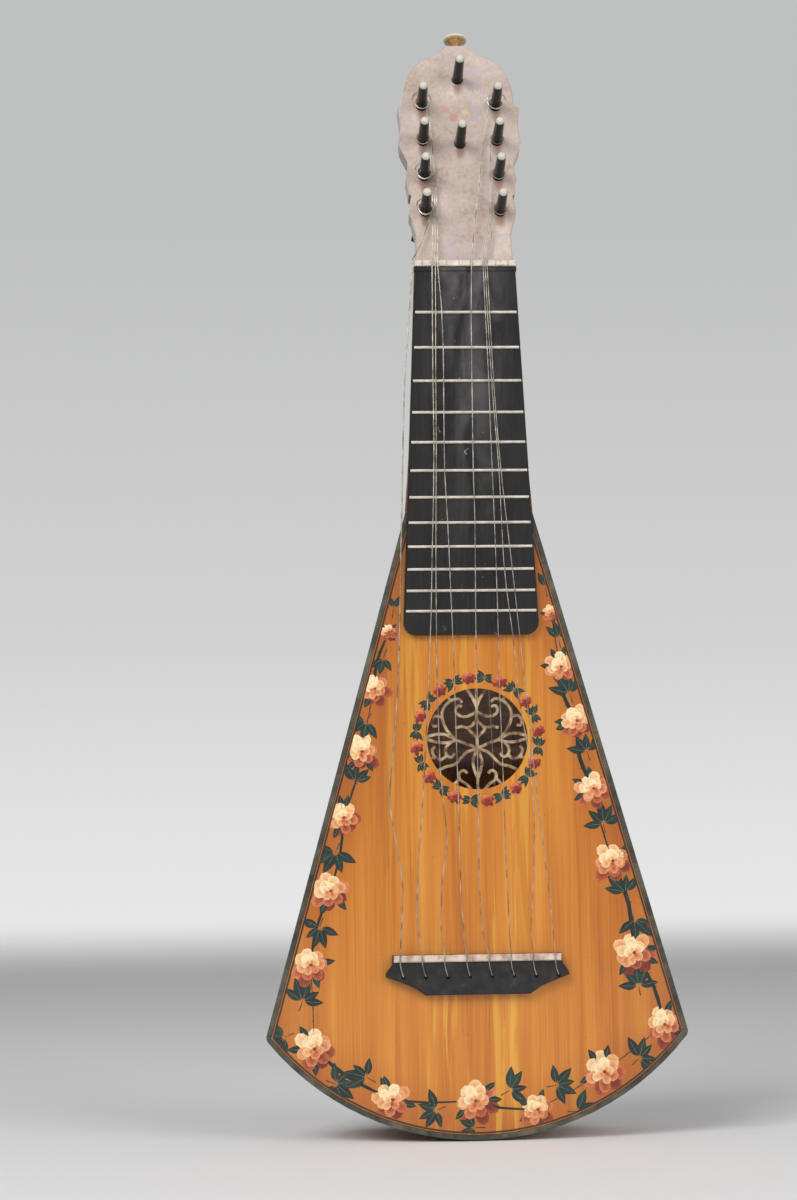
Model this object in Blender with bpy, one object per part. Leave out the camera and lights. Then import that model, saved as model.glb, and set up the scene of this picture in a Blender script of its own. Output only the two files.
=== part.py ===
"""Harp guitar of about 1800: a fan-shaped body, a wide fretted neck and a tilted peg head.

The instrument stands upright in its own frame: +Z runs up the strings, the soundboard faces -Y
and X = 0 is the centre line. The origin is the lowest point of the soundboard's face.
All sizes are in millimetres and become metres when a mesh is made.
"""
import math

import bmesh
import bpy
from mathutils import Matrix, Vector

MM = 0.001
GAP = 0.3
BORE_GAP = 0.3

# Soundboard outline: straight sides that widen downwards and a round lower end
END_RADIUS = 197.0
CORNER_HALF_WIDTH = 153.9
SIDE_SLOPE = 0.2775
CORNER_RADIUS = 6.0
BODY_TOP_Z = 457.0
SOUNDBOARD_THICKNESS = 2.8
BINDING_WIDTH = 3.6
BINDING_DEPTH = 4.3

# Sound hole and the openwork disc behind it
HOLE_RADIUS = 37.2
HOLE_X = 3.4
HOLE_Z = 289.5
ROSETTE_RIM = 6.5
ROSETTE_THICKNESS = 2.0
SCROLL_HALF_WIDTH = 1.05
ROSETTE_HUB_RADIUS = 2.6

# Vaulted back of staves, deepest at the lower end
STAVE_COUNT = 7
STAVE_THICKNESS = 2.4
DEPTH_AT_END = 106.0
DEPTH_AT_NECK = 36.0
BACK_BELLY = 7.0
END_PANEL_THICKNESS = 3.0

# Inside the body
LINING_WIDTH = 6.0
LINING_DEPTH = 7.0
LINING_CORNER_CLEARANCE = 18.0
BRACE_WIDTH = 6.0
BRACE_DEPTH = 12.0
BRACE_END_DEPTH = 5.0
BRACE_HEIGHTS = {"brace_lower": 158.0, "brace_middle": 234.0, "brace_upper": 346.0}
NECK_BLOCK_LENGTH = 32.0

# Strings and frets: the frets are reckoned from a point just below the nut
SADDLE_Z = 130.3
SCALE_LENGTH = 506.5
FRET_COUNT = 12
FRET_CROWN_WIDTH = 2.0
FRET_CROWN_HEIGHT = 1.2
FRET_TANG_WIDTH = 0.8
FRET_TANG_DEPTH = 1.8
FRET_END_INSET = 1.4

# Fingerboard
BOARD_END_Z = 366.0
BOARD_TOP_Z = 639.8
BOARD_THICKNESS = 5.0
BOARD_HALF_AT_TOP = 38.0
BOARD_HALF_AT_END = 50.4
BOARD_CORNER_RADIUS = 9.0
NUT_STRIP_WIDTH = 3.0
NUT_STRIP_OVERHANG = 0.6
NUT_WIDTH = 4.5
NUT_OVERHANG = 0.4
NUT_RISE = 2.6
NUT_NOTCH_PITCH = 9.2
NUT_NOTCH_DEPTH = 0.9

# Neck
NECK_DEPTH_AT_NUT = 12.5
NECK_SHOULDER = 3.0
HEEL_LENGTH = 46.0

# Peg head, in its own frame: u across, v up the head, w out of its face
HEAD_TILT = math.radians(14.0)
HEAD_FACE_Y = -3.0
HEAD_THICKNESS = 15.0
HEAD_EDGE_BEVEL = 0.8
HEAD_PROFILE = (
    (0.0, 36.4), (22.3, 36.0), (30.3, 38.0), (35.8, 39.0), (40.3, 40.6), (47.3, 40.2), (55.8, 38.6),
    (57.3, 40.4), (64.3, 41.2), (70.8, 42.3), (76.3, 41.0), (85.3, 40.8), (90.8, 43.2), (97.3, 46.0),
    (103.3, 47.0), (109.3, 46.2), (116.3, 45.3), (126.3, 46.2), (133.3, 47.0), (135.8, 43.0), (146.3, 42.4),
    (156.3, 40.4), (164.3, 37.4), (170.3, 33.4), (174.8, 28.0), (177.9, 22.5), (181.3, 16.5),
    (185.8, 11.4), (189.3, 7.4),
)
HEAD_LENGTH = HEAD_PROFILE[-1][0]

# Pegs: a 1 in 20 taper, with the thumb piece behind the head
PEG_COLUMN_U = 28.5
PEG_ROWS_V = (134.3, 103.3, 72.6, 41.8)
PEG_CENTRE_V = (158.1, 100.9)
PEG_FRONT_LENGTH = 31.0
PEG_TIP_RADIUS = 3.35
PEG_FACE_RADIUS = 4.15
PEG_COLLAR_GAP = 4.0
PEG_SIDES = 12
PEG_TURNS_DEG = {
    "peg_l1": 14.0, "peg_l2": -32.0, "peg_l3": 68.0, "peg_l4": 25.0,
    "peg_r1": -18.0, "peg_r2": 47.0, "peg_r3": -70.0, "peg_r4": 8.0,
    "peg_c1": 0.0, "peg_c2": 38.0,
}

# Knob for the ribbon, on the end of the head
KNOB_RADIUS = 9.4
KNOB_HEIGHT = 10.0
KNOB_NECK_RADIUS = 3.1
KNOB_SPIGOT_RADIUS = 2.4
KNOB_SPIGOT_LENGTH = 9.0

# Bridge and saddle
BRIDGE_OUTLINE = (
    (38.0, 104.0), (46.0, 109.5), (57.0, 114.0), (66.8, 117.6), (66.2, 120.4), (62.0, 126.0), (61.4, 133.0),
)
BRIDGE_HEIGHT = 7.0
BRIDGE_LEDGE_HEIGHT = 4.2
SADDLE_WIDTH = 5.0
SADDLE_HALF_LENGTH = 60.8
SADDLE_HEIGHT = 9.8
STRING_PITCH = 16.1
STRING_HOLE_RADIUS = 1.5
STRING_HOLE_DEPTH = 4.0
STRING_HOLE_Z = 117.0
STRING_HOLE_SIDE = 2.4

# Strings, bass first: diameter, and where the slack wire wanders between saddle and nut
STRING_DIAMETERS = (1.0, 0.9, 0.8, 0.8, 0.8, 0.7, 0.7, 0.7)
STRING_NUT_X = (-39.7, -25.0, -22.6, -20.9, 4.6, 13.4, 14.9, 16.4)
STRING_ROUTES = (
    ((-54.6, 161), (-53.5, 180), (-55.0, 195), (-60.6, 229), (-62.5, 246), (-61.0, 265), (-57.4, 298),
     (-54.4, 345), (-52.6, 392), (-51.6, 425), (-50.0, 470), (-48.4, 520), (-46.0, 570), (-43.2, 600)),
    ((-42.6, 148), (-44.0, 163), (-43.2, 178), (-41.0, 212), (-38.2, 244), (-34.7, 298), (-32.6, 330),
     (-30.0, 380), (-28.3, 430), (-26.9, 465), (-25.8, 510), (-25.7, 560), (-25.3, 608)),
    ((-26.4, 147), (-25.9, 168), (-25.0, 186), (-22.6, 203), (-20.6, 216), (-22.8, 238), (-25.0, 266),
     (-26.2, 326), (-26.1, 385), (-25.6, 430), (-24.9, 465), (-24.0, 510), (-23.6, 560), (-22.9, 608)),
    ((-9.8, 144), (-10.2, 158), (-11.7, 172), (-11.9, 202), (-12.2, 244), (-13.0, 290), (-13.8, 345),
     (-15.2, 399), (-16.6, 450), (-18.2, 489), (-18.0, 533), (-17.7, 581), (-18.5, 613)),
    ((4.6, 144), (2.6, 164), (1.9, 188), (2.2, 230), (2.4, 286), (2.7, 340), (3.1, 400), (3.6, 450),
     (3.1, 489), (3.3, 540), (3.6, 600)),
    ((23.3, 146), (22.6, 174), (21.9, 195), (21.3, 232), (20.4, 284), (19.4, 330), (19.2, 383),
     (18.1, 450), (16.7, 510), (15.9, 557), (14.3, 609)),
    ((38.6, 146), (40.2, 172), (41.8, 192), (42.9, 226), (42.4, 246), (39.6, 280), (36.2, 302), (33.4, 320),
     (30.8, 358), (27.7, 385), (24.4, 420), (22.2, 489), (19.3, 533), (17.4, 570), (15.9, 609)),
    ((54.6, 155), (52.8, 174), (50.1, 202), (47.6, 226), (41.6, 291), (35.2, 364), (30.4, 417),
     (26.2, 460), (22.8, 500), (19.4, 557), (17.5, 609)),
)
STRING_PEGS = ("peg_l4", "peg_l3", "peg_l2", "peg_l1", "peg_r1", "peg_r2", "peg_r3", "peg_r4")
# Lanes past the lower pegs: (u, v) points on the head between the nut and the peg
STRING_LANES = (
    ((-33.0, 11.0), (-26.2, 31.0)),
    ((-23.2, 28.0), (-22.5, 44.0), (-23.2, 60.0)),
    ((-21.4, 30.0), (-21.1, 44.0), (-22.0, 73.0), (-23.0, 88.0)),
    ((-19.7, 30.0), (-19.6, 44.0), (-20.5, 73.0), (-21.8, 104.0), (-22.8, 118.0)),
    ((9.0, 34.0), (13.0, 62.0), (18.6, 108.0), (21.5, 122.0)),
    ((18.4, 30.0), (20.6, 50.0), (21.9, 74.0), (22.8, 90.0)),
    ((20.0, 28.0), (22.1, 44.0), (22.8, 58.0)),
    ((21.2, 22.0), (23.0, 34.0)),
)
WIRE_STEP = 22.0
WRAP_CLEARANCE = 0.5
WRAP_TURNS = 1.5
WRAP_PITCH = 1.5
WRAP_LIFT = 2.6
WRAP_POINTS_PER_TURN = 12
LOOSE_RADIUS = {"peg_l1": 7.8, "peg_r1": 7.4, "peg_l3": 7.2, "peg_l4": 7.0}
LOOSE_LIFT = 4.0

# Values worked out from the driving dimensions
FRET_ZERO_Z = SADDLE_Z + SCALE_LENGTH
BOARD_BACK_Y = -GAP
BOARD_FACE_Y = BOARD_BACK_Y - BOARD_THICKNESS
FRET_TOP_Y = BOARD_FACE_Y - FRET_CROWN_HEIGHT - GAP
NUT_STRIP_Z = BOARD_TOP_Z + GAP
NUT_Z = NUT_STRIP_Z + NUT_STRIP_WIDTH + GAP
NUT_TOP_Y = BOARD_FACE_Y - NUT_RISE
HEAD_HINGE_Z = NUT_Z + NUT_WIDTH + GAP + (BOARD_BACK_Y - HEAD_FACE_Y) * math.tan(HEAD_TILT)
STAVE_EDGE_Y = BINDING_DEPTH + GAP
SIDE_COS = math.cos(math.atan(SIDE_SLOPE))
SIDE_SIN = math.sin(math.atan(SIDE_SLOPE))
CORNER_Z = END_RADIUS - math.sqrt(END_RADIUS ** 2 - CORNER_HALF_WIDTH ** 2)
HALF_WIDTH_AT_ZERO = CORNER_HALF_WIDTH + SIDE_SLOPE * CORNER_Z
LINING_FRONT_Y = SOUNDBOARD_THICKNESS + GAP
LINING_INSET = BINDING_WIDTH + GAP
NECK_BLOCK_LOW_Z = BODY_TOP_Z - GAP - NECK_BLOCK_LENGTH


def clear_scene():
    """Remove what the scene starts with."""
    for item in list(bpy.data.objects):
        bpy.data.objects.remove(item, do_unlink=True)


def make_material(name, colour, roughness, metallic=0.0):
    """A Principled material of one colour."""
    material = bpy.data.materials.new(name)
    material.use_nodes = True
    shader = material.node_tree.nodes["Principled BSDF"]
    shader.inputs["Base Color"].default_value = (*colour, 1.0)
    shader.inputs["Roughness"].default_value = roughness
    shader.inputs["Metallic"].default_value = metallic
    material.diffuse_color = (*colour, 1.0)
    return material


def make_materials():
    """The finishes of the instrument, by name."""
    return {
        "spruce": make_material("spruce", (0.60, 0.27, 0.045), 0.3),
        "binding": make_material("binding", (0.10, 0.10, 0.07), 0.45),
        "maple": make_material("maple", (0.33, 0.13, 0.04), 0.35),
        "softwood": make_material("softwood", (0.55, 0.40, 0.22), 0.7),
        "ebony": make_material("ebony", (0.012, 0.011, 0.010), 0.35),
        "bone": make_material("bone", (0.75, 0.70, 0.58), 0.4),
        "gilt": make_material("gilt", (0.40, 0.27, 0.15), 0.5, 0.3),
        "head_paint": make_material("head_paint", (0.62, 0.52, 0.47), 0.25),
        "wire": make_material("wire", (0.55, 0.50, 0.42), 0.35, 1.0),
    }


def place_mesh(name, bm, material, smooth_deg=None, parent=None, place=None):
    """Turn a bmesh in millimetres into a named object in metres."""
    bmesh.ops.recalc_face_normals(bm, faces=bm.faces)
    bmesh.ops.scale(bm, vec=(MM, MM, MM), verts=bm.verts)
    mesh = bpy.data.meshes.new(name)
    bm.to_mesh(mesh)
    bm.free()
    if smooth_deg:
        mesh.shade_smooth()
        mesh.set_sharp_from_angle(angle=math.radians(smooth_deg))
    item = bpy.data.objects.new(name, mesh)
    bpy.context.scene.collection.objects.link(item)
    if material:
        mesh.materials.append(material)
    if place:
        item.matrix_local = place
    item.parent = parent
    return item


def cut(item, name, bm, operation="DIFFERENCE", own_overlaps=False, parent=None):
    """Cut or join a hidden shape with an object by a Boolean modifier."""
    tool = place_mesh(name, bm, None, parent=parent)
    tool.hide_render = True
    tool.display_type = "WIRE"
    modifier = item.modifiers.new(name, "BOOLEAN")
    modifier.operation = operation
    modifier.object = tool
    modifier.use_self = own_overlaps


def add_slab(bm, outline, low, high, plane="XZ"):
    """Extrude a closed outline of (a, b) points between two levels of the third axis."""
    def place(a, b, level):
        return (a, level, b) if plane == "XZ" else (a, b, level)
    base = [bm.verts.new(place(a, b, low)) for a, b in outline]
    face = bm.faces.new(base)
    grown = bmesh.ops.extrude_face_region(bm, geom=[face])
    moved = [v for v in grown["geom"] if isinstance(v, bmesh.types.BMVert)]
    shift = Vector(place(0.0, 0.0, high - low))
    bmesh.ops.translate(bm, vec=shift, verts=moved)
    return moved


def slab(outline, low, high, plane="XZ"):
    """A new bmesh that holds one extruded outline."""
    bm = bmesh.new()
    add_slab(bm, outline, low, high, plane)
    return bm


def soften(bm, width, keep):
    """Bevel the edges that the test picks."""
    edges = [e for e in bm.edges if keep(e)]
    bmesh.ops.bevel(bm, geom=edges, offset=width, offset_type="OFFSET", segments=1, profile=0.5,
                    affect="EDGES", clamp_overlap=True, material=-1)


def lies_at(edge, axis, level):
    """Whether both ends of an edge lie at one level of an axis."""
    return all(abs(v.co[axis] - level) < 1e-4 for v in edge.verts)


def loft(rings):
    """Join rings of equally many points by faces and close both ends."""
    bm = bmesh.new()
    loops = [[bm.verts.new(p) for p in ring] for ring in rings]
    count = len(loops[0])
    for low, high in zip(loops, loops[1:]):
        for i in range(count):
            j = (i + 1) % count
            bm.faces.new((low[i], low[j], high[j], high[i]))
    bm.faces.new(reversed(loops[0]))
    bm.faces.new(loops[-1])
    return bm


def circle(radius, count, centre=(0.0, 0.0)):
    """Points round a circle."""
    return [(centre[0] + radius * math.cos(math.tau * i / count),
             centre[1] + radius * math.sin(math.tau * i / count)) for i in range(count)]


def smooth_path(points, samples):
    """Points on a Catmull-Rom curve through a route, with the given samples in each span."""
    route = [Vector(p) for p in points]
    route = [2 * route[0] - route[1]] + route + [2 * route[-1] - route[-2]]
    path = []
    for a, b, c, d, steps in zip(route, route[1:], route[2:], route[3:], samples):
        for k in range(steps):
            t = k / steps
            path.append(0.5 * ((2 * b) + (c - a) * t + (2 * a - 5 * b + 4 * c - d) * t * t
                               + (3 * b - a - 3 * c + d) * t ** 3))
    path.append(route[-2])
    return path


def side_x(z, inset=0.0):
    """Half width of the straight side at a height, with the edge moved in by an inset."""
    return HALF_WIDTH_AT_ZERO - SIDE_SLOPE * z - inset / SIDE_COS


def corner_point(inset):
    """Where the straight side meets the round end, both moved in by an inset."""
    edge = side_x(0.0, inset)
    radius = END_RADIUS - inset
    a = 1.0 + SIDE_SLOPE ** 2
    b = edge * SIDE_SLOPE + END_RADIUS
    c = edge ** 2 + END_RADIUS ** 2 - radius ** 2
    z = (b - math.sqrt(b * b - a * c)) / a
    return side_x(z, inset), z


def corner_arc(inset, count=6):
    """The rounded corner on the right, from the straight side to the round end."""
    radius = CORNER_RADIUS - inset
    x, z = corner_point(CORNER_RADIUS)
    start = math.atan2(SIDE_SIN, SIDE_COS)
    end = math.atan2(z - END_RADIUS, x)
    return [(x + radius * math.cos(start + (end - start) * i / count),
             z + radius * math.sin(start + (end - start) * i / count)) for i in range(count + 1)]


def end_arc(inset, count=28):
    """The round lower end from right to left, with its corners."""
    right = corner_arc(inset)
    x, z = right[-1]
    start = math.atan2(z - END_RADIUS, x)
    radius = END_RADIUS - inset
    turn = -math.pi - 2 * start
    middle = [(radius * math.cos(start + turn * i / count), END_RADIUS + radius * math.sin(start + turn * i / count))
              for i in range(1, count)]
    return right + middle + [(-a, b) for a, b in reversed(right)]


def half_width(z):
    """Half width of the outer edge at a height, rounded corner included."""
    x, centre_z = corner_point(CORNER_RADIUS)
    if z >= centre_z + CORNER_RADIUS * SIDE_SIN:
        return side_x(z)
    return x + math.sqrt(max(CORNER_RADIUS ** 2 - (z - centre_z) ** 2, 0.0))


def back_depth(z):
    """Depth of the vaulted back at a height."""
    share = min(max(z / BODY_TOP_Z, 0.0), 1.0)
    return DEPTH_AT_END + (DEPTH_AT_NECK - DEPTH_AT_END) * share + BACK_BELLY * math.sin(math.pi * share)


def end_z(x, inset):
    """Height of the round end, moved in by an inset, at a place across."""
    return END_RADIUS - math.sqrt((END_RADIUS - inset) ** 2 - x * x)


def arch_foot(angle, inset):
    """Height at which the arch's line at an angle meets the round end."""
    z = CORNER_Z
    for _ in range(60):
        z = 0.5 * (z + end_z(half_width(z) * math.cos(angle), inset))
    return z


def board_half(z):
    """Half width of the fingerboard at a height."""
    share = (BOARD_TOP_Z - z) / (BOARD_TOP_Z - BOARD_END_Z)
    return BOARD_HALF_AT_TOP + (BOARD_HALF_AT_END - BOARD_HALF_AT_TOP) * share


def fret_z(number):
    """Height of a fret by the rule of equal semitones."""
    return SADDLE_Z + SCALE_LENGTH * 2 ** (-number / 12.0)


def make_soundboard(materials):
    """The thin front, let in between the bindings, with its sound hole."""
    inset = BINDING_WIDTH + GAP
    top = BODY_TOP_Z
    outline = [(side_x(top, inset), top)] + end_arc(inset) + [(-side_x(top, inset), top)]
    board = place_mesh("soundboard", slab(outline, 0.0, SOUNDBOARD_THICKNESS), materials["spruce"])
    hole = slab(circle(HOLE_RADIUS, 48, (HOLE_X, HOLE_Z)), -2.0, SOUNDBOARD_THICKNESS + 2.0)
    cut(board, "sound_hole_cutter", hole)


def make_bindings(materials):
    """Edging strips: two straight ones up the sides and one round the lower end."""
    outer = end_arc(0.0)
    inner = end_arc(BINDING_WIDTH)
    place_mesh("binding_bottom", slab(outer + inner[::-1], 0.0, BINDING_DEPTH), materials["binding"])
    low_z = outer[0][1] + GAP
    drop = BINDING_WIDTH * SIDE_SIN
    for name, side in (("binding_right", 1.0), ("binding_left", -1.0)):
        outline = [(side_x(low_z), low_z), (side_x(BODY_TOP_Z), BODY_TOP_Z),
                   (side_x(BODY_TOP_Z, BINDING_WIDTH), BODY_TOP_Z), (side_x(low_z - drop, BINDING_WIDTH), low_z - drop)]
        strip = slab([(side * x, z) for x, z in outline], 0.0, BINDING_DEPTH)
        place_mesh(name, strip, materials["binding"])


# The scrolls of the rosette in shares of the hole's radius, right half, (across, up)
ROSETTE_STEM = ((0.0, 1.06), (0.0, 0.70), (0.0, 0.36))
ROSETTE_FOOT = ((0.0, -0.76), (0.0, -1.06))
ROSETTE_SCROLLS = (
    ((0.0, -0.19), (0.09, -0.42), (0.06, -0.62), (0.0, -0.78)),
    ((0.0, -0.19), (0.22, -0.09), (0.44, -0.01)),
    ((0.42, -0.02), (0.62, 0.09), (0.82, 0.10), (1.06, 0.03)),
    ((0.42, -0.02), (0.62, -0.07), (0.82, -0.05), (1.04, 0.02)),
    ((0.0, 0.64), (0.08, 0.82), (0.22, 1.03)),
    ((0.0, 0.38), (0.09, 0.28), (0.18, 0.22), (0.30, 0.25), (0.43, 0.22)),
    ((0.18, 0.22), (0.10, 0.12), (0.0, 0.03)),
    ((0.0, 0.04), (0.0, -0.19)),
    ((0.0, 0.54), (0.18, 0.45), (0.33, 0.46), (0.42, 0.55), (0.38, 0.66), (0.29, 0.64)),
    ((0.44, 0.0), (0.60, 0.18), (0.69, 0.42), (0.66, 0.62), (0.52, 0.76), (0.36, 0.80), (0.29, 0.72)),
    ((0.52, 0.76), (0.62, 0.92)),
    ((0.69, 0.44), (0.82, 0.46), (0.90, 0.36), (0.86, 0.26), (0.79, 0.28)),
    ((0.89, 0.40), (1.04, 0.36)),
    ((0.50, -0.04), (0.62, -0.16), (0.62, -0.30), (0.52, -0.36), (0.45, -0.28)),
    ((0.60, -0.31), (0.72, -0.40), (0.85, -0.34), (0.90, -0.22), (0.84, -0.14)),
    ((0.84, -0.36), (0.98, -0.38)),
    ((0.0, -0.20), (0.20, -0.25), (0.33, -0.38), (0.45, -0.50), (0.62, -0.54), (0.84, -0.64)),
    ((0.10, -1.03), (0.24, -0.88), (0.36, -0.80), (0.36, -0.67), (0.27, -0.62), (0.21, -0.68)),
    ((0.36, -0.78), (0.50, -0.92)),
)


def add_scroll(bm, points, side=1.0):
    """One flat scroll of the openwork: a ribbon along a smooth curve."""
    route = [(side * x * HOLE_RADIUS, z * HOLE_RADIUS, 0.0) for x, z in points]
    path = smooth_path(route, [2 if len(points) > 2 else 1] * (len(points) - 1))
    left = []
    right = []
    for i, point in enumerate(path):
        ahead = path[min(i + 1, len(path) - 1)] - path[max(i - 1, 0)]
        across = Vector((-ahead.y, ahead.x, 0.0)).normalized() * SCROLL_HALF_WIDTH
        left.append((point.x + across.x + HOLE_X, point.y + across.y + HOLE_Z))
        right.append((point.x - across.x + HOLE_X, point.y - across.y + HOLE_Z))
    front = SOUNDBOARD_THICKNESS + GAP
    add_slab(bm, left + right[::-1], front, front + ROSETTE_THICKNESS)


def make_rosette(materials):
    """Openwork disc: a rim hidden behind the front, a hub, and scrolls joined to both."""
    front = SOUNDBOARD_THICKNESS + GAP
    back = front + ROSETTE_THICKNESS
    rim_count = 40
    centre = (HOLE_X, HOLE_Z)
    rosette = place_mesh("rosette", slab(circle(HOLE_RADIUS + ROSETTE_RIM, rim_count, centre), front, back),
                         materials["gilt"])
    cut(rosette, "rosette_cutter", slab(circle(HOLE_RADIUS + 0.4, rim_count, centre), front - 1.0, back + 1.0))
    scrolls = bmesh.new()
    hub = (HOLE_X, HOLE_Z + ROSETTE_SCROLLS[0][0][1] * HOLE_RADIUS)
    add_slab(scrolls, circle(ROSETTE_HUB_RADIUS, 10, hub), front, back)
    for points in (ROSETTE_STEM, ROSETTE_FOOT):
        add_scroll(scrolls, points)
    for points in ROSETTE_SCROLLS:
        add_scroll(scrolls, points)
        if any(abs(x) > 0.01 for x, z in points):
            add_scroll(scrolls, points, -1.0)
    cut(rosette, "rosette_scrolls", scrolls, "UNION", own_overlaps=True)


def stave_ring(z_at, start, end, steps, first, last):
    """Cross section of one stave, each point at the height that its angle gives."""
    outer = []
    inner = []
    for i in range(steps + 1):
        angle = start + (end - start) * i / steps
        z = z_at(angle)
        wide = half_width(z)
        deep = back_depth(z)
        run = math.hypot(wide * math.sin(angle), deep * math.cos(angle))
        if i == 0 and not first:
            angle += 0.5 * GAP / run
        if i == steps and not last:
            angle -= 0.5 * GAP / run
        outer.append((wide * math.cos(angle), STAVE_EDGE_Y + deep * math.sin(angle), z))
        thin = STAVE_THICKNESS
        inner.append(((wide - thin) * math.cos(angle), STAVE_EDGE_Y + (deep - thin) * math.sin(angle), z))
    return outer + inner[::-1]


def make_staves(materials):
    """The seven tapering staves of the vaulted back."""
    stations = (0.0, 0.06, 0.16, 0.3, 0.46, 0.62, 0.8, 1.0)
    inset = END_PANEL_THICKNESS + GAP
    for number in range(STAVE_COUNT):
        start = math.pi * number / STAVE_COUNT
        end = math.pi * (number + 1) / STAVE_COUNT
        rings = []
        for share in stations:
            def z_at(angle, share=share):
                foot = arch_foot(angle, inset)
                return foot + (BODY_TOP_Z - foot) * share
            rings.append(stave_ring(z_at, start, end, 3, number == 0, number == STAVE_COUNT - 1))
        place_mesh(f"rib_{number + 1}", loft(rings), materials["maple"], smooth_deg=30)


def make_end_panel(materials):
    """The curved board that closes the lower end, bent round the soundboard's lower edge."""
    bm = bmesh.new()
    steps = 28
    columns = []
    for i in range(1, steps):
        angle = math.pi * i / steps
        column = []
        for inset in (0.0, END_PANEL_THICKNESS):
            z = arch_foot(angle, inset)
            x = half_width(z) * math.cos(angle)
            arch_y = STAVE_EDGE_Y + back_depth(z) * math.sin(angle)
            column += [bm.verts.new((x, STAVE_EDGE_Y, z)), bm.verts.new((x, arch_y, z))]
        columns.append(column)
    for near, far in zip(columns, columns[1:]):
        bm.faces.new((near[0], near[1], far[1], far[0]))
        bm.faces.new((near[3], near[2], far[2], far[3]))
        bm.faces.new((near[1], near[3], far[3], far[1]))
        bm.faces.new((near[2], near[0], far[0], far[2]))
    for column in (columns[0], columns[-1]):
        bm.faces.new((column[0], column[1], column[3], column[2]))
    place_mesh("end_panel", bm, materials["maple"], smooth_deg=30)


def make_linings(materials):
    """Strips glued in the angle between the front and the staves or end panel."""
    front = LINING_FRONT_Y
    back = front + LINING_DEPTH
    inner = LINING_INSET + LINING_WIDTH
    low_z = corner_point(LINING_INSET)[1] + LINING_CORNER_CLEARANCE
    top_z = NECK_BLOCK_LOW_Z - GAP
    for name, side in (("lining_right", 1.0), ("lining_left", -1.0)):
        outline = [(side_x(low_z, LINING_INSET), low_z), (side_x(top_z, LINING_INSET), top_z),
                   (side_x(top_z, inner), top_z), (side_x(low_z, inner), low_z)]
        place_mesh(name, slab([(side * x, z) for x, z in outline], front, back), materials["softwood"])
    reach = corner_point(LINING_INSET)[0] - LINING_CORNER_CLEARANCE
    count = 16
    across = [reach * (1 - 2 * i / count) for i in range(count + 1)]
    outline = [(x, end_z(x, LINING_INSET)) for x in across]
    outline += [(x, end_z(x, inner)) for x in across[::-1]]
    place_mesh("lining_end", slab(outline, front, back), materials["softwood"])


def make_braces(materials):
    """Bars across the back of the soundboard, thinned at their ends."""
    front = SOUNDBOARD_THICKNESS + GAP
    for name, z in BRACE_HEIGHTS.items():
        half = side_x(z + 0.5 * BRACE_WIDTH, LINING_INSET + LINING_WIDTH + GAP)
        inner = 0.62 * half
        outline = [(-half, front), (half, front), (half, front + BRACE_END_DEPTH), (inner, front + BRACE_DEPTH),
                   (-inner, front + BRACE_DEPTH), (-half, front + BRACE_END_DEPTH)]
        bar = slab(outline, z - 0.5 * BRACE_WIDTH, z + 0.5 * BRACE_WIDTH, "XY")
        place_mesh(name, bar, materials["softwood"])


def make_neck_block(materials):
    """Block that fills the top of the body, inside the staves."""
    inset = STAVE_THICKNESS + GAP
    rings = []
    for z in (NECK_BLOCK_LOW_Z, BODY_TOP_Z - GAP):
        wide = half_width(z) - inset
        deep = back_depth(z) - inset
        arch = [(wide * math.cos(a), STAVE_EDGE_Y + deep * math.sin(a), z)
                for a in (math.radians(14 + 152 * i / 10) for i in range(11))]
        front_x = side_x(z, LINING_INSET)
        rings.append([(-front_x, LINING_FRONT_Y, z), (front_x, LINING_FRONT_Y, z)] + arch)
    place_mesh("neck_block", loft(rings), materials["softwood"], smooth_deg=40)


def head_end_z(y):
    """Height of the neck's upper end, which is cut square to the tilted head."""
    return HEAD_HINGE_Z - (y - HEAD_FACE_Y) * math.tan(HEAD_TILT) - GAP / math.cos(HEAD_TILT)


def make_neck(materials):
    """Round-backed neck, from the heel on the body up to the tilted head."""
    steps = 12
    low = BODY_TOP_Z + GAP
    heel_depth = back_depth(BODY_TOP_Z)
    stations = (0.0, 0.3, 0.6, 1.0)
    sections = []
    for share in stations:
        z = low + HEEL_LENGTH * share
        ease = 1 - (1 - share) ** 2
        heel_end = NECK_DEPTH_AT_NUT + 0.36 * (heel_depth - NECK_DEPTH_AT_NUT)
        wide = side_x(BODY_TOP_Z) + (board_half(z) - side_x(BODY_TOP_Z)) * ease
        sections.append((z, wide, heel_depth + (heel_end - heel_depth) * ease,
                         STAVE_EDGE_Y + (NECK_SHOULDER - STAVE_EDGE_Y) * ease))
    z_mid = low + HEEL_LENGTH + 60.0
    depth_mid = NECK_DEPTH_AT_NUT + 0.12 * (heel_depth - NECK_DEPTH_AT_NUT)
    sections.append((z_mid, board_half(z_mid), depth_mid, NECK_SHOULDER))
    sections.append((None, BOARD_HALF_AT_TOP, NECK_DEPTH_AT_NUT, NECK_SHOULDER))
    rings = []
    for z, wide, deep, shoulder in sections:
        ring = [(wide, 0.0), ]
        ring += [(wide * math.cos(math.pi * i / steps), shoulder + deep * math.sin(math.pi * i / steps))
                 for i in range(steps + 1)]
        ring.append((-wide, 0.0))
        rings.append([(x, y, head_end_z(y) if z is None else z) for x, y in ring])
    place_mesh("neck", loft(rings), materials["maple"], smooth_deg=40)


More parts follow.
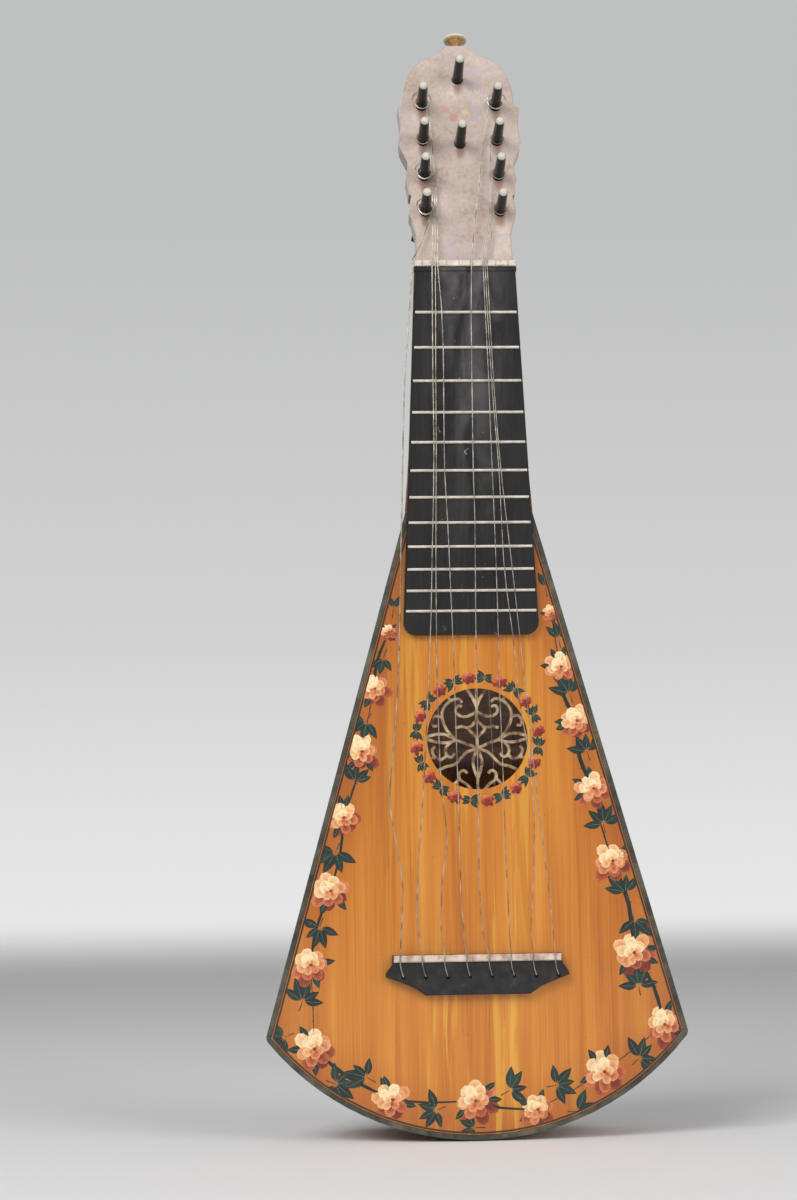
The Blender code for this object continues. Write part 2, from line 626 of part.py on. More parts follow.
def make_fingerboard(materials):
    """Tapered board with round lower corners and a slot for each fret."""
    radius = BOARD_CORNER_RADIUS
    x = board_half(BOARD_END_Z + radius) - radius
    corner = [(x + radius * math.sin(a), BOARD_END_Z + radius - radius * math.cos(a))
              for a in (math.radians(90 - 15 * i) for i in range(7))]
    outline = [(BOARD_HALF_AT_TOP, BOARD_TOP_Z)] + corner
    outline += [(-a, b) for a, b in reversed(outline)]
    bm = slab(outline, BOARD_BACK_Y, BOARD_FACE_Y)
    soften(bm, 0.7, lambda e: lies_at(e, 1, BOARD_FACE_Y) and not lies_at(e, 2, BOARD_TOP_Z))
    board = place_mesh("fingerboard", bm, materials["ebony"])
    slots = bmesh.new()
    half = 0.5 * FRET_TANG_WIDTH + GAP
    floor = BOARD_FACE_Y + FRET_TANG_DEPTH + GAP
    for number in range(1, FRET_COUNT + 1):
        z = fret_z(number)
        wide = board_half(z) + 5.0
        add_slab(slots, [(-wide, z - half), (wide, z - half), (wide, z + half), (-wide, z + half)],
                 BOARD_FACE_Y - 2.0, floor)
    cut(board, "fret_slot_cutter", slots)


def make_frets(materials):
    """Bars with a round-shouldered crown on the board and a tang in its slot."""
    tang = 0.5 * FRET_TANG_WIDTH
    crown = 0.5 * FRET_CROWN_WIDTH
    seat = BOARD_FACE_Y - GAP
    for number in range(1, FRET_COUNT + 1):
        z = fret_z(number)
        half = board_half(z) - FRET_END_INSET
        section = [(BOARD_FACE_Y + FRET_TANG_DEPTH, -tang), (BOARD_FACE_Y + FRET_TANG_DEPTH, tang), (seat, tang),
                   (seat, crown), (seat - 0.6 * FRET_CROWN_HEIGHT, crown * 0.9), (FRET_TOP_Y, crown * 0.4),
                   (FRET_TOP_Y, -crown * 0.4), (seat - 0.6 * FRET_CROWN_HEIGHT, -crown * 0.9), (seat, -crown),
                   (seat, -tang)]
        rings = [[(x, y, z + dz) for y, dz in section] for x in (-half, half)]
        place_mesh(f"fret_{number}", loft(rings), materials["bone"])


def make_nut(materials):
    """Black strip over the board's end and the notched nut above it."""
    strip = BOARD_HALF_AT_TOP + NUT_STRIP_OVERHANG
    outline = [(-strip, NUT_STRIP_Z), (strip, NUT_STRIP_Z), (strip, NUT_STRIP_Z + NUT_STRIP_WIDTH),
               (-strip, NUT_STRIP_Z + NUT_STRIP_WIDTH)]
    bm = slab(outline, BOARD_BACK_Y, BOARD_FACE_Y - 0.9)
    soften(bm, 0.5, lambda e: lies_at(e, 1, BOARD_FACE_Y - 0.9))
    place_mesh("nut_strip", bm, materials["ebony"])
    half = BOARD_HALF_AT_TOP + NUT_OVERHANG
    outline = [(-half, NUT_Z), (half, NUT_Z), (half, NUT_Z + NUT_WIDTH), (-half, NUT_Z + NUT_WIDTH)]
    bm = slab(outline, BOARD_BACK_Y, NUT_TOP_Y)
    soften(bm, 0.6, lambda e: lies_at(e, 1, NUT_TOP_Y))
    nut = place_mesh("nut", bm, materials["bone"])
    notches = bmesh.new()
    depth = NUT_NOTCH_DEPTH
    for number in range(8):
        x = (number - 3.5) * NUT_NOTCH_PITCH
        add_slab(notches, [(x, NUT_TOP_Y + depth), (x - depth, NUT_TOP_Y - 0.5), (x + depth, NUT_TOP_Y - 0.5)],
                 NUT_Z - 2.0, NUT_Z + NUT_WIDTH + 2.0, "XY")
    cut(nut, "nut_notch_cutter", notches)


def make_head_frame():
    """Empty at the foot of the head's face: its X is across, Y up the head, Z out of the face."""
    frame = bpy.data.objects.new("head_frame", None)
    bpy.context.scene.collection.objects.link(frame)
    frame.location = (0.0, HEAD_FACE_Y * MM, HEAD_HINGE_Z * MM)
    frame.rotation_euler = (math.pi / 2 - HEAD_TILT, 0.0, 0.0)
    return frame


def head_point(u, v, w):
    """A point of the head's own frame in the instrument's frame."""
    return Vector((u, HEAD_FACE_Y + v * math.sin(HEAD_TILT) - w * math.cos(HEAD_TILT),
                   HEAD_HINGE_Z + v * math.cos(HEAD_TILT) + w * math.sin(HEAD_TILT)))


def peg_places():
    """Name of each peg and its place (u, v) on the head."""
    places = {}
    for row, v in enumerate(PEG_ROWS_V):
        places[f"peg_l{row + 1}"] = (-PEG_COLUMN_U, v)
        places[f"peg_r{row + 1}"] = (PEG_COLUMN_U, v)
    for row, v in enumerate(PEG_CENTRE_V):
        places[f"peg_c{row + 1}"] = (0.0, v)
    return places


def peg_radius(w):
    """Radius of the tapered shaft at a height over the head's face."""
    return PEG_FACE_RADIUS - (PEG_FACE_RADIUS - PEG_TIP_RADIUS) * w / PEG_FRONT_LENGTH


def bore_radius(w):
    """Radius of the peg's bore at a height, so that a turning peg clears its flats."""
    return (peg_radius(w) + BORE_GAP) / math.cos(math.pi / PEG_SIDES)


def make_head(materials, frame):
    """Flat head with an ogee top and scalloped sides, bored for the pegs and the knob."""
    outline = [(half, v) for v, half in HEAD_PROFILE]
    outline += [(-half, v) for half, v in reversed(outline)]
    bm = slab(outline, -HEAD_THICKNESS, 0.0, "XY")
    soften(bm, HEAD_EDGE_BEVEL, lambda e: lies_at(e, 2, 0.0) and not lies_at(e, 1, 0.0))
    head = place_mesh("head", bm, materials["head_paint"], parent=frame)
    bores = bmesh.new()
    for u, v in peg_places().values():
        rings = []
        for w in (2.0, -HEAD_THICKNESS - 2.0):
            rings.append([(x, y, w) for x, y in circle(bore_radius(w), PEG_SIDES, (u, v))])
        bore = loft(rings)
        mesh = bpy.data.meshes.new("bore")
        bore.to_mesh(mesh)
        bore.free()
        bores.from_mesh(mesh)
        bpy.data.meshes.remove(mesh)
    low = HEAD_LENGTH - KNOB_SPIGOT_LENGTH - GAP
    spigot = circle(KNOB_SPIGOT_RADIUS + GAP, 12, (0.0, -0.5 * HEAD_THICKNESS))
    rings = [[(x, v, w) for x, w in spigot] for v in (low, HEAD_LENGTH + 2.0)]
    hole = loft(rings)
    mesh = bpy.data.meshes.new("spigot_hole")
    hole.to_mesh(mesh)
    hole.free()
    bores.from_mesh(mesh)
    bpy.data.meshes.remove(mesh)
    cut(head, "head_bore_cutter", bores, parent=frame)


def peg_sections():
    """Sections down a peg from its white tip to its thumb piece: (w, half width, half thickness)."""
    tip = PEG_FRONT_LENGTH
    back = -HEAD_THICKNESS - PEG_COLLAR_GAP
    round_parts = [(tip, 0.9), (tip - 0.5, 2.1), (tip - 1.5, 2.9), (tip - 2.6, 3.1), (tip - 2.8, peg_radius(tip - 2.8)),
                   (0.0, peg_radius(0.0)), (back, peg_radius(back)), (back - 0.4, 5.8), (back - 2.6, 5.9),
                   (back - 3.6, 4.2), (back - 6.0, 3.7)]
    thumb = [(back - 8.5, 6.4, 3.5), (back - 13.0, 9.6, 3.2), (back - 18.5, 10.0, 2.8), (back - 23.0, 7.4, 2.3),
             (back - 25.0, 3.4, 1.5)]
    return [(w, r, r) for w, r in round_parts] + thumb


def make_pegs(materials, frame):
    """Ten tapered friction pegs, each with its origin on its own axis at the head's face."""
    for name, (u, v) in peg_places().items():
        rings = []
        for w, wide, thick in peg_sections():
            rings.append([(wide * math.cos(math.tau * i / PEG_SIDES), thick * math.sin(math.tau * i / PEG_SIDES), w)
                          for i in range(PEG_SIDES)])
        place = (Matrix.Translation((u * MM, v * MM, 0.0))
                 @ Matrix.Rotation(math.radians(PEG_TURNS_DEG[name]), 4, "Z"))
        place_mesh(name, loft(rings), materials["ebony"], smooth_deg=40, parent=frame, place=place)


def make_knob(materials, frame):
    """Turned button with a trumpet-shaped underside and a spigot in the head."""
    foot = HEAD_LENGTH + GAP
    profile = [(-KNOB_SPIGOT_LENGTH, KNOB_SPIGOT_RADIUS), (0.0, KNOB_SPIGOT_RADIUS), (0.0, KNOB_NECK_RADIUS + 1.2),
               (0.9, KNOB_NECK_RADIUS + 0.9), (2.4, KNOB_NECK_RADIUS), (4.6, KNOB_NECK_RADIUS + 1.1),
               (6.8, KNOB_NECK_RADIUS + 3.2), (8.2, KNOB_RADIUS - 0.5), (8.9, KNOB_RADIUS), (9.6, KNOB_RADIUS - 0.4),
               (KNOB_HEIGHT, KNOB_RADIUS - 1.6), (9.2, 5.0), (8.9, 1.0)]
    count = 20
    rings = [[(x, foot + v, w) for x, w in circle(r, count, (0.0, -0.5 * HEAD_THICKNESS))] for v, r in profile]
    place_mesh("knob", loft(rings), materials["bone"], smooth_deg=40, parent=frame)


def string_x(number):
    """Place of a string across the bridge."""
    return (number - 3.5) * STRING_PITCH


def make_bridge(materials):
    """Black bridge with shaped ends, a ledge for the saddle and a tie hole for each string."""
    outline = list(BRIDGE_OUTLINE)
    outline += [(-x, z) for x, z in reversed(outline)]
    base = -GAP
    bm = slab(outline, base, -BRIDGE_HEIGHT)
    soften(bm, 0.9, lambda e: lies_at(e, 1, -BRIDGE_HEIGHT))
    bridge = place_mesh("bridge", bm, materials["ebony"])
    tools = bmesh.new()
    ledge_low = SADDLE_Z - 0.5 * SADDLE_WIDTH - GAP
    wide = SADDLE_HALF_LENGTH + 10.0
    add_slab(tools, [(-wide, ledge_low), (wide, ledge_low), (wide, ledge_low + 20.0), (-wide, ledge_low + 20.0)],
             -BRIDGE_HEIGHT - 5.0, -BRIDGE_LEDGE_HEIGHT)
    for number in range(8):
        centre = (string_x(number) + STRING_HOLE_SIDE, STRING_HOLE_Z)
        add_slab(tools, circle(STRING_HOLE_RADIUS, 8, centre), -BRIDGE_HEIGHT - 5.0,
                 -BRIDGE_HEIGHT + STRING_HOLE_DEPTH)
    cut(bridge, "bridge_cutter", tools)


def make_saddle(materials):
    """Pale bar on the ledge of the bridge."""
    low = SADDLE_Z - 0.5 * SADDLE_WIDTH
    outline = [(-SADDLE_HALF_LENGTH, low), (SADDLE_HALF_LENGTH, low),
               (SADDLE_HALF_LENGTH, low + SADDLE_WIDTH), (-SADDLE_HALF_LENGTH, low + SADDLE_WIDTH)]
    bm = slab(outline, -BRIDGE_LEDGE_HEIGHT - GAP, -SADDLE_HEIGHT)
    soften(bm, 0.8, lambda e: lies_at(e, 1, -SADDLE_HEIGHT))
    place_mesh("saddle", bm, materials["bone"])


def wire_length_samples(points):
    """How many samples each span of a slack string gets."""
    return [max(1, round((Vector(b) - Vector(a)).length / WIRE_STEP)) for a, b in zip(points, points[1:])]


def tie_route(number, radius):
    """From the tie hole in the bridge up to the top of the saddle."""
    x = string_x(number)
    hole_x = x + STRING_HOLE_SIDE
    over_bridge = -BRIDGE_HEIGHT - radius - GAP
    over_saddle = -SADDLE_HEIGHT - radius - GAP
    low = SADDLE_Z - 0.5 * SADDLE_WIDTH
    return [(hole_x, -BRIDGE_HEIGHT + 1.4, STRING_HOLE_Z), (hole_x - 0.1, over_bridge - 0.1, STRING_HOLE_Z + 0.7),
            (x + 0.8, over_bridge - 0.7, 0.5 * (STRING_HOLE_Z + low)), (x, over_saddle + 0.5, low - 0.8),
            (x, over_saddle - 0.15, low + 1.2), (x, over_saddle - 0.15, low + SADDLE_WIDTH)]


def speaking_route(number, radius):
    """The slack stretch over the front and the fingerboard."""
    start_y = -SADDLE_HEIGHT - radius - GAP
    end_y = NUT_TOP_Y - radius - GAP
    span = NUT_Z - SADDLE_Z
    return [(x, start_y + (end_y - start_y) * (z - SADDLE_Z) / span, z) for x, z in STRING_ROUTES[number]]


def head_route(number, radius):
    """Over the nut and up the head to the side of the peg that the string winds on."""
    nut_y = NUT_TOP_Y - radius - GAP - 0.1
    points = [(STRING_NUT_X[number], nut_y, NUT_Z + 0.3), (STRING_NUT_X[number], nut_y, NUT_Z + NUT_WIDTH - 0.3)]
    lanes = STRING_LANES[number]
    peg_v = peg_places()[STRING_PEGS[number]][1]
    for u, v in lanes:
        lift = 4.6 + (WRAP_LIFT - 4.6) * v / peg_v
        points.append(tuple(head_point(u, v, lift)))
    return points


def wrap_points(number, radius):
    """The turns round the peg, with a loose last turn on the pegs that have one."""
    name = STRING_PEGS[number]
    u, v = peg_places()[name]
    side = 1.0 if u < 0 else -1.0
    tight = peg_radius(WRAP_LIFT) + radius + WRAP_CLEARANCE
    count = round(WRAP_TURNS * WRAP_POINTS_PER_TURN)
    turns = [(i / WRAP_POINTS_PER_TURN, tight, WRAP_LIFT + WRAP_PITCH * i / WRAP_POINTS_PER_TURN)
             for i in range(count + 1)]
    loose = LOOSE_RADIUS.get(name)
    if loose:
        last_turn, _, last_lift = turns[-1]
        steps = WRAP_POINTS_PER_TURN
        for i in range(1, steps + 1):
            share = i / steps
            turns.append((last_turn + share, tight + (loose - tight) * math.sin(0.5 * math.pi * share),
                          last_lift + LOOSE_LIFT * share))
    points = []
    for turn, out, lift in turns:
        angle = math.tau * turn
        points.append(tuple(head_point(u + side * out * math.cos(angle), v + out * math.sin(angle), lift)))
    return points


def least_gap(path, diameter, apart):
    """Least distance between stretches of one wire that lie more than a run apart, less its diameter."""
    lengths = [0.0]
    for a, b in zip(path, path[1:]):
        lengths.append(lengths[-1] + (b - a).length)
    least = math.inf
    for i in range(len(path)):
        for j in range(i + 1, len(path)):
            if lengths[j] - lengths[i] > apart:
                least = min(least, (path[i] - path[j]).length)
    return least - diameter


def make_strings(materials):
    """Eight slack strings, each one unbroken wire from its tie hole to its peg."""
    for number, diameter in enumerate(STRING_DIAMETERS):
        radius = 0.5 * diameter
        route = tie_route(number, radius) + speaking_route(number, radius) + head_route(number, radius)
        wraps = wrap_points(number, radius)
        path = smooth_path(route + [wraps[0]], wire_length_samples(route + [wraps[0]]))
        path += [Vector(p) for p in wraps[1:]]
        curve = bpy.data.curves.new(f"string_{number + 1}", "CURVE")
        curve.dimensions = "3D"
        curve.bevel_depth = radius * MM
        curve.bevel_resolution = 1
        curve.use_fill_caps = True
        spline = curve.splines.new("POLY")
        spline.points.add(len(path) - 1)
        for point, place in zip(spline.points, path):
            point.co = (*(place * MM), 1.0)
        curve.materials.append(materials["wire"])
        item = bpy.data.objects.new(f"string_{number + 1}", curve)
        bpy.context.scene.collection.objects.link(item)
        gap = least_gap(path[-len(wraps):], diameter, 4 * peg_radius(0.0))
        print(f"string_{number + 1}: {len(path)} points, least gap between turns {gap:.2f} mm")


def main():
    clear_scene()
    materials = make_materials()
    make_soundboard(materials)
    make_bindings(materials)
    make_rosette(materials)
    make_staves(materials)
    make_end_panel(materials)
    make_linings(materials)
    make_braces(materials)
    make_neck_block(materials)
    make_neck(materials)
    make_fingerboard(materials)
    make_frets(materials)
    make_nut(materials)
    frame = make_head_frame()
    make_head(materials, frame)
    make_pegs(materials, frame)
    make_knob(materials, frame)
    make_bridge(materials)
    make_saddle(materials)
    make_strings(materials)


main()
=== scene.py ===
"""Harp guitar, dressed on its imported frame.

Metres, +Z up the strings, the soundboard faces -Y. After the camera, the sections go from the
instrument's front to its strings, and the stage and light come last.
"""
import math
import random

import bmesh
import bpy
from mathutils import Matrix, Vector


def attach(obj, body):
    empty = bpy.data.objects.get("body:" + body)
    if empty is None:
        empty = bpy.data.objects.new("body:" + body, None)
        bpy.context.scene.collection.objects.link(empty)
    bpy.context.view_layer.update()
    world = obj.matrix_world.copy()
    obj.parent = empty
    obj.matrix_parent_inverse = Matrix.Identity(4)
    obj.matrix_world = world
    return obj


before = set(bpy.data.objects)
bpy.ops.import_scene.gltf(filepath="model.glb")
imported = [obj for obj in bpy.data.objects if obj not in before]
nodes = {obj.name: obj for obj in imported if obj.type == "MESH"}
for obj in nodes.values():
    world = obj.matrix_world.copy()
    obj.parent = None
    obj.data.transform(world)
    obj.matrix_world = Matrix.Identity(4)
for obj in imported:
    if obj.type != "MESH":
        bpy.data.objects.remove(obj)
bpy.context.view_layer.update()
random.seed(18)

# Camera
# A long lens about a quarter of the way up the instrument, looking slightly up at it.
LENS_MM = 70.0
SENSOR_WIDTH_MM = 36.0
CAMERA_PLACE = (-0.14279, -1.71128, 0.19739)
CAMERA_LIFT = math.radians(6.5)
CAMERA_YAW = math.radians(2.994)
CAMERA_ROLL = math.radians(-0.825)


def add_object(name, data):
    """Put a new object with its data in the scene."""
    item = bpy.data.objects.new(name, data)
    bpy.context.scene.collection.objects.link(item)
    return item


lens = bpy.data.cameras.new("camera")
lens.lens = LENS_MM
lens.sensor_width = SENSOR_WIDTH_MM
camera = add_object("camera", lens)
camera.matrix_world = (
    Matrix.Translation(CAMERA_PLACE)
    @ Matrix.Rotation(-CAMERA_YAW, 4, "Z")
    @ Matrix.Rotation(math.pi / 2 + CAMERA_LIFT, 4, "X")
    @ Matrix.Rotation(CAMERA_ROLL, 4, "Z")
)
bpy.context.scene.camera = camera
bpy.context.scene.view_settings.view_transform = "Standard"


# Soundboard
# A thin spruce plate with its grain up the strings, stained and varnished orange,
# with a dark line let in beside the edging. Handling has left nicks and rubbed streaks.
class Value:
    """A shader value: Python's operators on it add Math nodes."""

    def __init__(self, finish, socket):
        self.finish = finish
        self.socket = socket

    def do(self, operation, *others):
        plain = [o.socket if isinstance(o, Value) else o for o in others]
        made = self.finish.node("ShaderNodeMath", [self.socket, *plain], operation=operation)
        return Value(self.finish, made.outputs[0])

    def flip(self, operation, other):
        made = self.finish.node("ShaderNodeMath", [other, self.socket], operation=operation)
        return Value(self.finish, made.outputs[0])

    def __add__(self, other):
        return self.do("ADD", other)

    def __radd__(self, other):
        return self.flip("ADD", other)

    def __sub__(self, other):
        return self.do("SUBTRACT", other)

    def __rsub__(self, other):
        return self.flip("SUBTRACT", other)

    def __mul__(self, other):
        return self.do("MULTIPLY", other)

    def __rmul__(self, other):
        return self.flip("MULTIPLY", other)

    def __truediv__(self, other):
        return self.do("DIVIDE", other)

    def __neg__(self):
        return self.do("MULTIPLY", -1.0)

    def __abs__(self):
        return self.do("ABSOLUTE")

    def over(self, level, soft):
        """1 where the value is above a level, 0 below it, with a soft step between."""
        span = {"Value": self.socket, "From Min": level - soft, "From Max": level + soft}
        made = self.finish.node("ShaderNodeMapRange", span, interpolation_type="SMOOTHSTEP")
        return Value(self.finish, made.outputs[0])


class Finish:
    """A Principled material under construction."""

    def __init__(self, name, colour, roughness, metallic=0.0, coat=0.0):
        self.material = bpy.data.materials.new(name)
        self.material.use_nodes = True
        self.tree = self.material.node_tree
        self.shader = self.tree.nodes["Principled BSDF"]
        self.shader.inputs["Base Color"].default_value = (*colour, 1.0)
        self.shader.inputs["Roughness"].default_value = roughness
        self.shader.inputs["Metallic"].default_value = metallic
        self.shader.inputs["Coat Weight"].default_value = coat
        self.shader.inputs["Coat Roughness"].default_value = 0.12
        self.place = self.node("ShaderNodeTexCoord", {}).outputs["Object"]

    def node(self, kind, values, **settings):
        """Add a node, give it its settings, then the values or links of its sockets."""
        made = self.tree.nodes.new(kind)
        for key, setting in settings.items():
            if key == "stops":
                ramp = made.color_ramp
                while len(ramp.elements) < len(setting):
                    ramp.elements.new(0.5)
                for element, (where, colour) in zip(ramp.elements, setting):
                    element.position = where
                    element.color = (*colour, 1.0)
            else:
                setattr(made, key, setting)
        pairs = values.items() if isinstance(values, dict) else enumerate(values)
        for key, value in pairs:
            if isinstance(value, Value):
                value = value.socket
            if isinstance(value, bpy.types.NodeSocket):
                self.tree.links.new(value, made.inputs[key])
            else:
                made.inputs[key].default_value = value
        return made

    def axes(self):
        """The place on the piece as three values in metres."""
        split = self.node("ShaderNodeSeparateXYZ", [self.place])
        return [Value(self, s) for s in split.outputs]

    def noise(self, scale, stretch=(1.0, 1.0, 1.0), detail=3.0, roughness=0.5, warp=0.0):
        """Noise with a size for each axis."""
        fit = self.node("ShaderNodeMapping", {"Vector": self.place, "Scale": stretch})
        made = self.node("ShaderNodeTexNoise", {"Vector": fit.outputs[0], "Scale": scale, "Detail": detail,
                                                "Roughness": roughness, "Distortion": warp})
        return Value(self, made.outputs[0])

    def ramp(self, value, *stops):
        """Colours along a value from 0 to 1."""
        return self.node("ShaderNodeValToRGB", [value], stops=stops).outputs[0]

    def mix(self, share, first, second):
        """Blend two colours, each a tuple or a link."""
        values = {0: share}
        for key, colour in ((6, first), (7, second)):
            values[key] = (*colour, 1.0) if isinstance(colour, tuple) else colour
        return self.node("ShaderNodeMix", values, data_type="RGBA").outputs[2]

    def colour(self, link):
        self.tree.links.new(link, self.shader.inputs["Base Color"])

    def rough(self, value):
        self.tree.links.new(value.socket, self.shader.inputs["Roughness"])

    def bump(self, value, strength, distance):
        made = self.node("ShaderNodeBump", {"Strength": strength, "Distance": distance, "Height": value})
        self.tree.links.new(made.outputs[0], self.shader.inputs["Normal"])


def wear(node, finish):
    """Give a CAD node its finish."""
    nodes[node].data.materials.clear()
    nodes[node].data.materials.append(finish.material)


SIDE_SLOPE = 0.2775
HALF_WIDTH_AT_ZERO = 0.17448
END_RADIUS = 0.197
SIDE_COS = math.cos(math.atan(SIDE_SLOPE))
ROUND_END_TOP = 0.095
PURFLING_IN = 0.0052
PURFLING_WIDTH = 0.0007
EDGE_SHADE_IN = 0.024
LOW_SHADE_TOP = 0.20
STREAK_HALF_WIDTH = 0.055

spruce = Finish("varnished_spruce", (0.62, 0.26, 0.04), 0.28, coat=0.5)
across, _, up = spruce.axes()
grain = spruce.noise(1.0, (900.0, 60.0, 9.0), 4.0, 0.6)
broad = spruce.noise(1.0, (70.0, 10.0, 3.0), 3.0, 0.55, 0.3)
cloud = spruce.noise(9.0, (1.0, 1.0, 0.6), 3.0)
wood = spruce.ramp(grain * 0.35 + broad * 0.65,
                   (0.30, (0.36, 0.09, 0.008)), (0.46, (0.58, 0.19, 0.016)),
                   (0.60, (0.70, 0.27, 0.030)), (0.78, (0.84, 0.42, 0.07)))
to_side = (HALF_WIDTH_AT_ZERO - abs(across) - up * SIDE_SLOPE) * SIDE_COS
from_centre = (across * across + (up - END_RADIUS) * (up - END_RADIUS)).do("SQRT")
to_end = (END_RADIUS - from_centre) + up.over(ROUND_END_TOP, 0.004)
to_edge = to_side.do("MINIMUM", to_end)
shade = 1.0 - to_edge.over(EDGE_SHADE_IN, 0.026)
wood = spruce.mix(shade * cloud * 1.5, wood, (0.36, 0.085, 0.008))
low = 1.0 - up.over(LOW_SHADE_TOP, 0.22)
wood = spruce.mix(low * cloud * 0.5, wood, (0.46, 0.13, 0.012))
streak = spruce.noise(1.0, (120.0, 10.0, 5.0), 3.0, 0.6, 0.6).over(0.60, 0.05)
inner = 1.0 - abs(across).over(STREAK_HALF_WIDTH, 0.035)
wood = spruce.mix(streak * inner * 0.42, wood, (0.84, 0.50, 0.06))
scuff = spruce.noise(1.0, (260.0, 10.0, 120.0), 5.0, 0.7, 1.5).over(0.685, 0.012)
wood = spruce.mix(scuff * 0.7, wood, (0.26, 0.075, 0.015))
line = (-abs(to_edge - PURFLING_IN)).over(-PURFLING_WIDTH, 0.0002)
wood = spruce.mix(line, wood, (0.03, 0.02, 0.012))
spruce.colour(wood)
spruce.rough(0.26 + cloud * 0.16)
spruce.bump(grain * 0.7 + scuff * -0.5, 0.12, 0.0003)
wear("soundboard", spruce)

# Edging
# Strips of wood glued round the edge of the front, stained dark and worn grey-green, with
# brown showing at the rubs.
edging = Finish("stained_edging", (0.12, 0.11, 0.07), 0.42, coat=0.2)
patch = edging.noise(45.0, detail=5.0, roughness=0.65)
edging.colour(edging.ramp(patch, (0.36, (0.015, 0.013, 0.009)), (0.50, (0.055, 0.053, 0.035)),
                          (0.64, (0.11, 0.105, 0.07)), (0.76, (0.20, 0.075, 0.03))))
edging.rough(0.32 + patch * 0.3)
edging.bump(patch, 0.2, 0.0003)
for name in ("binding_left", "binding_right", "binding_bottom"):
    wear(name, edging)

# Rosette
# A gilded openwork disc let in behind the sound hole and rubbed brown in patches, with the
# inside of the body showing through it.
gilt = Finish("worn_gilding", (0.45, 0.30, 0.15), 0.42, metallic=0.35)
rub = gilt.noise(160.0, detail=4.0, roughness=0.6)
gilt.colour(gilt.ramp(rub, (0.34, (0.10, 0.05, 0.03)), (0.48, (0.36, 0.23, 0.13)),
                      (0.66, (0.62, 0.47, 0.27))))
gilt.rough(0.3 + rub * 0.35)
gilt.bump(rub, 0.35, 0.0004)
wear("rosette", gilt)

# Painted garland
# Roses and leaves painted on the front, along both sides and round the lower end, with a wreath
# of small red roses round the sound hole. Each brush mark is a thin raised flake.
MM = 0.001
# One layer of paint, and where the foot of every mark lies, in metres
FLAKE = 0.00010
PAINT_Y = -0.00004
# Sizes on the front are in mm from here on
PAINT_MARGIN = 5.6
PAINTED_LIGHT = math.radians(115)
# Each rose: x, z and size
SIDE_ROSES = (
    (-61, 369, 6), (-72, 327, 11), (-82, 281, 12), (-96, 233, 12), (-106, 180, 13), (-121, 127, 13),
    (-119, 67, 14), (-63, 30, 13), (-3, 28, 14), (42, 21, 11), (91, 47, 14), (136, 80, 13),
    (115, 132, 14), (101, 199, 13), (88, 252, 12), (77, 302, 12), (66, 342, 11), (60, 382, 6),
)
# Each spray: x, z, direction in degrees and number of leaves
LEAF_SPRAYS = (
    (-57, 386, 80, 2), (-65, 350, 250, 3), (-78, 303, 240, 4), (-87, 259, 70, 4), (-102, 208, 245, 5),
    (-114, 154, 250, 5), (-127, 101, 70, 5), (-140, 76, 200, 4), (-104, 42, 340, 6), (-81, 46, 150, 4),
    (-31, 22, 200, 5), (-3, 9, 180, 4), (22, 35, 30, 4), (56, 38, 10, 5), (71, 19, 0, 4),
    (117, 56, 40, 5), (118, 108, 100, 5), (116, 156, 290, 4), (110, 176, 110, 4), (95, 226, 100, 5),
    (84, 279, 110, 4), (72, 322, 110, 4), (65, 363, 100, 3), (56, 401, 100, 2),
)
# Rings of a rose from the rim in: reach, number of petals, their width and their level
ROSE_RINGS = ((0.98, 7, 0.72, 0), (0.76, 6, 0.62, 2), (0.52, 5, 0.46, 4), (0.30, 4, 0.30, 6))
# Tint of each ring, from the rim in
FULL_TINTS = (0.40, 0.62, 0.80, 0.62)
BUD_TINTS = (0.46, 0.55, 0.5, 0.4)
BUD_SIZE = 8
ROSE_SCALE = 1.08
PETAL_POINTS = 9
LEAF_SIDE_POINTS = 5
LEAF_LENGTHS = (11.0, 16.5)
LEAF_WIDTH_SHARE = 0.44
UPPER_SPRAYS_Z = 330
UPPER_LEAF_SHARE = 0.72
SPRAY_SPREAD = 0.72
SPRAY_STALK = 7
STALK_WIDTH = 0.7
LEAF_GAP = 1.5
MIDRIB_SHARE = 0.85
MIDRIB_WIDTH = 0.28
STEM_WIDTH = 0.5
STEM_SWAY = 7.0
THORN_LENGTH = 1.9
THORN_WIDTH = 0.55
# The leaves that show past each rose: their number, then shares of the rose's size
ROSE_LEAVES = 3
ROSE_LEAF_OUT = 0.55
ROSE_LEAF_LENGTH = 0.85
ROSE_LEAF_WIDTH = 0.4


def painted_tint(finish):
    """The tint that each brush mark carries."""
    return Value(finish, finish.node("ShaderNodeAttribute", {}, attribute_name="tint").outputs["Fac"])


petal_paint = Finish("rose_petal_paint", (0.75, 0.5, 0.3), 0.42, coat=0.3)
tint = painted_tint(petal_paint)
daub = petal_paint.noise(420.0, detail=3.0)
petal_paint.colour(petal_paint.ramp(
    tint + (daub - 0.5) * 0.35, (0.0, (0.17, 0.022, 0.008)), (0.25, (0.44, 0.085, 0.028)),
    (0.52, (0.72, 0.27, 0.11)), (0.76, (0.84, 0.50, 0.22)), (1.0, (0.92, 0.74, 0.44))))
petal_paint.bump(daub, 0.25, 0.0003)

leaf_paint = Finish("leaf_paint", (0.02, 0.05, 0.04), 0.4, coat=0.3)
tint = painted_tint(leaf_paint)
daub = leaf_paint.noise(500.0, detail=3.0)
leaf_paint.colour(leaf_paint.ramp(
    tint + (daub - 0.5) * 0.4, (0.0, (0.004, 0.010, 0.008)), (0.4, (0.010, 0.032, 0.025)),
    (0.75, (0.040, 0.085, 0.055)), (1.0, (0.30, 0.31, 0.17))))

